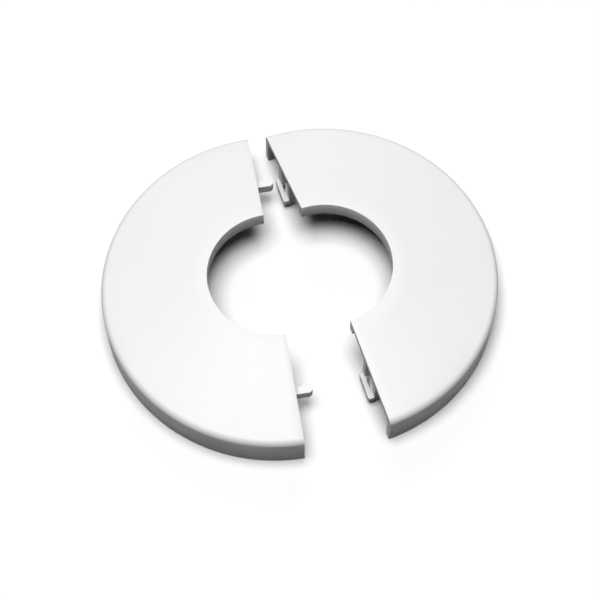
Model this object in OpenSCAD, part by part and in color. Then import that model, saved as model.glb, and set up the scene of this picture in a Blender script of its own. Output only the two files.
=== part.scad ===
// Split cover ring for the foot of a pool rail: two moulded halves that snap together round the rail.
// It stands on the deck at z = 0, and the photographed pose has the clip half swung open.

/* [Ring] */
// Diameter over the outer edge
outer_d = 127; // [116:1:150]
// Diameter of the rail hole
hole_d = 49; // [40:0.5:56]
// Height at which the outer wall and the sloping top would meet
edge_h = 14.6; // [13:0.1:20]
// How much higher the top is at the rail hole than at the outer edge
cone_rise = 7.5; // [5:0.1:11]
// Rounding between the outer wall and the top
edge_round = 2.6; // [1:0.1:4]
// Height of the lip that hangs round the rail hole
lip_h = 6.4; // [3.5:0.1:9]
// Gap between the two split faces when the ring is closed
split_gap = 0.2; // [0.1:0.05:0.6]

/* [Walls] */
// Thickness of the sloping top
top_t = 2.5; // [1.6:0.1:3]
// Thickness of the outer wall at its foot
skirt_t = 2.5; // [1.6:0.1:3.5]
// Thickness of the lip round the rail hole
lip_t = 2.5; // [1.6:0.1:3.5]
// Rounding inside the shell, between the outer wall and the top
shell_round = 2.8; // [1:0.1:4]
// Rounding inside the shell, between the lip and the top
lip_round = 1.2; // [0.5:0.1:2]

/* [Pins] */
// Place of the far pin along the split, from the middle of the hole
pin_far_y = 43.4; // [42:0.1:44]
// Place of the near pin along the split, from the middle of the hole
pin_near_y = -42.7; // [-44:0.1:-42]
// Width of a pin's shaft along the split
pin_w = 2.7; // [1.8:0.1:3]
// Height of a pin's shaft
pin_h = 4.1; // [2.5:0.1:4.4]
// Height of the pins' undersides over the deck
pin_z = 8.4; // [8:0.1:9]
// How far a pin stands out of the split face
pin_reach = 6.5; // [5.5:0.1:7.5]
// How far the barb stands proud of the shaft
barb_proud = 0.85; // [0.3:0.05:1.2]
// Distance of the barb's back edge from the split face
barb_start = 2.6; // [2.4:0.1:3]
// Length of the barb's sloping back
barb_slope = 1.1; // [0.6:0.1:1.4]
// Wall left on each side of a pin by the gusset that carries it
root_side = 1.6; // [0.8:0.1:3]
// Depth of the gusset at the pin
root_depth = 3; // [2:0.1:6]
// Depth of the gusset where it meets the top
root_run = 9; // [7:0.5:14]

/* [Pockets] */
// Place of the far pocket along the split, from the middle of the hole
pocket_far_y = 43.6; // [43:0.1:44.5]
// Place of the near pocket along the split, from the middle of the hole
pocket_near_y = -43.5; // [-44:0.1:-43]
// Half the length of a pocket, from its middle to the outside of its cross wall
pocket_half = 5.2; // [5:0.1:6.5]
// Distance from a pocket's middle to the end of its post
post_end = 5.5; // [5:0.1:7]
// Depth of the post behind the split face
post_depth = 2.4; // [1.8:0.1:2.4]
// Gap between the tip of a barb and the post that it snaps behind
snap_gap = 0.45; // [0.4:0.05:0.7]
// Thickness of the cross wall
cross_t = 2; // [1.2:0.1:2.4]
// Distance of the cross wall behind the split face
cross_back = 0.35; // [0.3:0.05:0.8]
// Height of the cross wall's foot over the deck
cross_z = 4; // [3.2:0.1:4.8]
// Depth of the cross wall's foot
cross_foot = 3; // [2:0.1:5]
// Depth of the cross wall where it meets the top
cross_run = 8; // [6:0.5:12]

/* [Catches] */
// Height of a V catch's underside over the deck
catch_z = 2.5; // [1.5:0.1:3]
// Height of a V catch
catch_h = 2.8; // [2:0.1:3.2]
// How far the outer prong stands out of the split face at the root
prong_out = 1.76; // [1.4:0.05:2.4]
// How much nearer the split face the outer prong is at its tip
prong_taper = 0.5; // [0:0.05:0.8]
// Depth of the opening's inner corner behind the split face
notch_depth = 0.17; // [0.1:0.01:0.4]
// Distance of the opening's inner corner from the pocket's middle, towards the root
notch_back = 1.4; // [0.6:0.1:2]
// How far the hooked tip of the outer prong reaches behind the split face
hook_depth = 1.3; // [0.8:0.1:1.6]
// Length of the hooked tip
hook_len = 3.7; // [2.5:0.1:4.5]
// Distance of the inner prong's end from the pocket's middle
prong_end = 4.6; // [4.2:0.1:5]
// Angle of the inner prong to the split
prong_angle = 21; // [18:0.5:24]
// Width of the inner prong along the ring's axis of closing
prong_w = 1.15; // [0.9:0.05:1.3]
// Rounding of the catch's outer root corner
root_round = 0.8; // [0.4:0.1:1.2]

/* [Opening pose] */
// How far the clip half is swung open in the stored pose
open_angle = 10.85; // [0:0.05:30]
// Sideways place of the upright axis that it swings round, from the closed ring's middle
swing_x = 4.9; // [-10:0.1:20]
// Place of that axis along the split, from the closed ring's middle
swing_y = 98.8; // [80:0.1:140]

/* [Hidden] */
$fn = 180;
// Overshoot of cutting shapes past the faces that they cut
cut = 1;
outer_r = outer_d / 2;
hole_r = hole_d / 2;
half_gap = split_gap / 2;
// Fall of the sloping top for each millimetre outwards, and its angle
fall = cone_rise / (outer_r - hole_r);
fall_angle = atan(fall);
// Upright distance between the two faces of the sloping top
top_upright = top_t / cos(fall_angle);
// The clip half's hole centre in the stored pose, measured from the pin half's
clip_x = swing_x * (1 - cos(open_angle)) + swing_y * sin(open_angle);
clip_y = swing_y * (1 - cos(open_angle)) - swing_x * sin(open_angle);

// Height of the top's outer face at a distance from the axis
function top_z(r) = edge_h + fall * (outer_r - r);

// Height of the middle of the top's thickness at a distance from the axis
function core_z(r) = top_z(r) - top_upright / 2;

// Place of the tip side of a barb along the split, for the pin at y
function barb_y(y) = y + pin_w / 2 + barb_proud;

// Area under a sloping top between two radii, with the outer corner rounded
module sloped_area(inner_r, wall_r, drop, corner, floor_z) {
    x = wall_r - corner;
    z = top_z(x) - drop - corner / cos(fall_angle);
    polygon([
        [inner_r, floor_z],
        [inner_r, top_z(inner_r) - drop],
        [x + corner * sin(fall_angle), z + corner * cos(fall_angle)],
        [x, z],
        [wall_r, z],
        [wall_r, floor_z]
    ]);
    translate([x, z]) circle(r = corner);
}

// Rounding that fills the corner between the lip's outer face and the underside of the top
module lip_corner() {
    x = hole_r + lip_t;
    difference() {
        translate([x - cut, top_z(x + lip_round) - top_upright - lip_round])
            square([lip_round + cut, lip_round + top_upright / 2]);
        translate([x + lip_round, top_z(x + lip_round) - top_upright - lip_round])
            circle(r = lip_round);
    }
}

// Section of the shell: sloping top, outer wall and lip
module shell_section() {
    difference() {
        sloped_area(hole_r, outer_r, 0, edge_round, 0);
        difference() {
            sloped_area(hole_r + lip_t, outer_r - skirt_t, top_upright, shell_round, -cut);
            lip_corner();
        }
        translate([hole_r - cut, -cut])
            square([lip_t + 2 * cut, top_z(hole_r) - lip_h + cut]);
    }
}

// Half of the shell, on the side of -X or of +X, with its split face set back by half the gap
module shell_half(side) {
    difference() {
        rotate_extrude(angle = 180, start = side < 0 ? 90 : -90) shell_section();
        translate([-half_gap, -outer_r - cut, -cut])
            cube([split_gap, outer_d + 2 * cut, top_z(hole_r) + 2 * cut]);
    }
}

// Barbed pin, standing out of the split face towards +X, with the gusset that hangs it from the top
module barbed_pin(y) {
    head_r = (pin_w + barb_proud) / 2;
    head_x = pin_reach - head_r;
    side = pin_w / 2;
    translate([0, y, pin_z])
        linear_extrude(pin_h)
            union() {
                translate([-root_depth, -side]) square([root_depth + head_x, pin_w]);
                polygon([
                    [barb_start, side],
                    [barb_start + barb_slope, side + barb_proud],
                    [head_x, side + barb_proud],
                    [head_x, -side],
                    [barb_start, -side]
                ]);
                translate([head_x, barb_proud / 2]) circle(r = head_r);
            }
    translate([0, y + side + root_side, 0])
        rotate([90, 0, 0])
            linear_extrude(pin_w + 2 * root_side)
                polygon([
                    [-half_gap, pin_z],
                    [-half_gap, core_z(abs(y))],
                    [-root_run, core_z(abs(y) + root_side)],
                    [-root_depth, pin_z]
                ]);
}

// V catch in plan: an outer prong along the split with a hooked tip, and an inner prong that leans away
module catch_plan() {
    lean = tan(prong_angle);
    // Depth of the inner prong's near side at a distance along the split from the pocket's middle
    function inner_x(y) = notch_depth + (y + notch_back) * lean;
    root_x = -prong_out + root_round;
    root_y = -pocket_half + root_round;
    polygon([
        [root_x, -pocket_half],
        [hook_depth, -pocket_half],
        [hook_depth, -pocket_half + cross_t],
        [inner_x(-notch_back) + prong_w, -notch_back],
        [inner_x(prong_end) + prong_w, prong_end],
        [inner_x(prong_end), prong_end],
        [notch_depth, -notch_back],
        [notch_depth, pocket_half - hook_len],
        [hook_depth, pocket_half],
        [-prong_out + prong_taper, pocket_half],
        [-prong_out, root_y],
        [root_x, root_y]
    ]);
    translate([root_x, root_y]) circle(r = root_round);
}

// Pocket behind the split face: post, cross wall and V catch, for the barbed pin at pin_y
module pocket(y, pin_y) {
    post_y = barb_y(pin_y) + snap_gap;
    catch_top = catch_z + catch_h;
    translate([half_gap, post_y, catch_top])
        cube([post_depth - half_gap, y + post_end - post_y, core_z(max(abs(post_y), abs(y + post_end))) - catch_top]);
    translate([0, y - pocket_half + cross_t, 0])
        rotate([90, 0, 0])
            linear_extrude(cross_t)
                polygon([
                    [cross_back, cross_z],
                    [cross_back, core_z(abs(y - pocket_half))],
                    [cross_run, core_z(abs(y - pocket_half) + cross_t / 2)],
                    [cross_foot, cross_z]
                ]);
    translate([0, y, catch_z]) linear_extrude(catch_h) catch_plan();
}

// Half with the barbed pins
module pin_half() {
    color("white")
        translate([-clip_x / 2, -clip_y / 2, 0]) {
            shell_half(-1);
            barbed_pin(pin_far_y);
            barbed_pin(pin_near_y);
        }
}

// Half with the pockets, swung open
module clip_half() {
    color("whitesmoke")
        translate([clip_x / 2, clip_y / 2, 0])
            rotate([0, 0, open_angle]) {
                shell_half(1);
                pocket(pocket_far_y, pin_far_y);
                pocket(pocket_near_y, pin_near_y);
            }
}

pin_half();
clip_half();
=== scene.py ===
"""Split cover ring for the foot of a pool rail, lying open on a plain white surface under soft studio light."""
import math

import bpy
import numpy as np
from mathutils import Matrix, Vector

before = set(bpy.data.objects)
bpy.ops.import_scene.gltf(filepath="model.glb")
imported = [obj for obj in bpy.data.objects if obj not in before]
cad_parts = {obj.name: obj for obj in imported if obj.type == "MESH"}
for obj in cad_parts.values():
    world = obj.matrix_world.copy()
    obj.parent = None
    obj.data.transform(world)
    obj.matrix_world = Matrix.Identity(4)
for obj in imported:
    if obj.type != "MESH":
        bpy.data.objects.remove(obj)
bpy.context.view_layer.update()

MM = 0.001


# Pin half
# Half of the ring, injection moulded in white ABS in one piece with its two barbed pins. The tool leaves
# a fine satin skin, and its parting edges come out a little rounded.

def linear(hex_colour):
    """An sRGB hex colour as linear red, green, blue and alpha: c/12.92 below 0.04045, else ((c+0.055)/1.055)^2.4."""
    channels = [int(hex_colour[i:i + 2], 16) / 255 for i in (1, 3, 5)]
    return [c / 12.92 if c <= 0.04045 else ((c + 0.055) / 1.055) ** 2.4 for c in channels] + [1.0]


def add_node(tree, kind, inputs=None, **settings):
    """Adds a shader node with its settings; inputs maps a socket to a value or to the output that feeds it."""
    node = tree.nodes.new(kind)
    for name, value in settings.items():
        setattr(node, name, value)
    for socket, value in (inputs or {}).items():
        if isinstance(value, bpy.types.NodeSocket):
            tree.links.new(value, node.inputs[socket])
        else:
            node.inputs[socket].default_value = value
    return node


def moulded_abs():
    """White ABS as moulded: an opaque body colour with a faint cloudiness, under a fine satin skin."""
    material = bpy.data.materials.new("moulded_abs")
    material.use_nodes = True
    tree = material.node_tree
    shader = tree.nodes["Principled BSDF"]
    place = add_node(tree, "ShaderNodeTexCoord").outputs["Object"]

    # Cloudiness of the pigment, in patches about 14 mm across
    cloud = add_node(tree, "ShaderNodeTexNoise", {"Vector": place, "Scale": 1 / (14 * MM), "Detail": 3.0})
    colour = add_node(tree, "ShaderNodeMix", {
        "Factor": cloud.outputs["Fac"], "A": linear("#EDEDED"), "B": linear("#F0F0F0")}, data_type="RGBA")
    tree.links.new(colour.outputs["Result"], shader.inputs["Base Color"])

    # Satin skin: spark-eroded grain of about 0.25 mm, and slight changes of gloss about 5 mm across
    gloss = add_node(tree, "ShaderNodeTexNoise", {"Vector": place, "Scale": 1 / (5 * MM), "Detail": 2.0})
    roughness = add_node(tree, "ShaderNodeMapRange", {
        "Value": gloss.outputs["Fac"], "To Min": 0.46, "To Max": 0.54})
    tree.links.new(roughness.outputs["Result"], shader.inputs["Roughness"])
    grain = add_node(tree, "ShaderNodeTexNoise", {"Vector": place, "Scale": 1 / (0.25 * MM), "Detail": 1.0})
    bump = add_node(tree, "ShaderNodeBump", {
        "Height": grain.outputs["Fac"], "Strength": 0.15, "Distance": 0.01 * MM})
    tree.links.new(bump.outputs["Normal"], shader.inputs["Normal"])
    shader.inputs["IOR"].default_value = 1.53
    return material


def finish_half(node, material):
    """Joins a half's loose triangles, rounds its sharp edges to 0.15 mm as the tool does, and gives it its finish."""
    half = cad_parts[node]
    weld = half.modifiers.new("join", "WELD")
    weld.merge_threshold = 0.001 * MM
    edges = half.modifiers.new("soft_edges", "BEVEL")
    edges.width = 0.15 * MM
    edges.segments = 2
    edges.limit_method = "ANGLE"
    edges.angle_limit = math.radians(35)
    edges.harden_normals = False
    half.data.materials.clear()
    half.data.materials.append(material)
    return half


abs_white = moulded_abs()
pin_half = finish_half("pin_half", abs_white)


# Clip half
# The matching half, moulded in the same ABS in one piece with the two pockets and their V catches.

clip_half = finish_half("clip_half", abs_white)


# Surface
# The photographer's white sweep. It lights nothing but itself: the camera sees it white, with the ring's
# shadow on it, while the light that it would throw back under the ring is kept out.

bpy.ops.mesh.primitive_plane_add(size=6.0, location=(0, 0, 0))
surface = bpy.context.object
surface.name = "sweep"
sweep_paint = bpy.data.materials.new("white_sweep")
sweep_paint.use_nodes = True
tree = sweep_paint.node_tree
rays = add_node(tree, "ShaderNodeLightPath")
seen = add_node(tree, "ShaderNodeMath", {0: rays.outputs["Is Camera Ray"], 1: rays.outputs["Is Glossy Ray"]},
                operation="MAXIMUM")
seen = add_node(tree, "ShaderNodeMath", {0: seen.outputs[0], 1: rays.outputs["Is Transmission Ray"]},
                operation="MAXIMUM")
tone = add_node(tree, "ShaderNodeMix", {
    "Factor": seen.outputs[0], "A": linear("#202020"), "B": linear("#FFFFFF")}, data_type="RGBA")
matt = add_node(tree, "ShaderNodeBsdfDiffuse", {"Color": tone.outputs["Result"]})
tree.links.new(matt.outputs[0], tree.nodes["Material Output"].inputs["Surface"])
surface.data.materials.append(sweep_paint)


# Light
# One large soft box overhead, a little to the left and to the front, and a weak one high behind the ring.

def soft_box(name, place, radius, level):
    """Round lamp aimed at the ring; level is the light that it gives a surface facing it, where 1 is white."""
    lamp = bpy.data.lights.new(name, "AREA")
    lamp.shape = "DISK"
    lamp.size = 2 * radius
    distance = Vector(place).length
    # radiance from the wanted light on a facing surface, then power from radiance and area
    radiance = level * (distance ** 2 + radius ** 2) / radius ** 2
    lamp.energy = radiance * math.pi * math.pi * radius ** 2
    holder = bpy.data.objects.new(name, lamp)
    holder.rotation_euler = Vector(place).to_track_quat("Z", "Y").to_euler()
    holder.location = place
    bpy.context.scene.collection.objects.link(holder)
    return holder


soft_box("overhead_box", (-0.10, -0.05, 1.5), 0.50, 0.97)
soft_box("back_box", (0.1, 1.2, 0.84), 0.4, 0.13)

# White backdrop that only the camera sees, so that it throws no light on the ring
world = bpy.data.worlds.new("studio")
bpy.context.scene.world = world
world.use_nodes = True
tree = world.node_tree
rays = add_node(tree, "ShaderNodeLightPath")
backdrop = tree.nodes["Background"]
backdrop.inputs["Color"].default_value = linear("#FFFFFF")
tree.links.new(rays.outputs["Is Camera Ray"], backdrop.inputs["Strength"])


# Camera
# Above and in front of the ring, looking down on it, turned a little to the left of its split.

camera_height_angle = math.radians(63.39)
camera_turn = math.radians(9.853)
camera_distance = 578.0 * MM
looked_at = Vector((-0.298 * MM, -1.699 * MM, 0))
level_way = Vector((math.sin(camera_turn), math.cos(camera_turn), 0))
camera_place = (looked_at - level_way * camera_distance * math.cos(camera_height_angle)
                + Vector((0, 0, camera_distance * math.sin(camera_height_angle))))
camera = bpy.data.objects.new("camera", bpy.data.cameras.new("camera"))
camera.data.sensor_width = 36.0
camera.data.lens = 92.907
camera.data.clip_start = 0.01
camera.data.clip_end = 20.0
camera.location = camera_place
camera.rotation_euler = (looked_at - camera_place).to_track_quat("-Z", "Y").to_euler()
bpy.context.scene.collection.objects.link(camera)
bpy.context.scene.camera = camera
bpy.context.scene.view_settings.view_transform = "Standard"
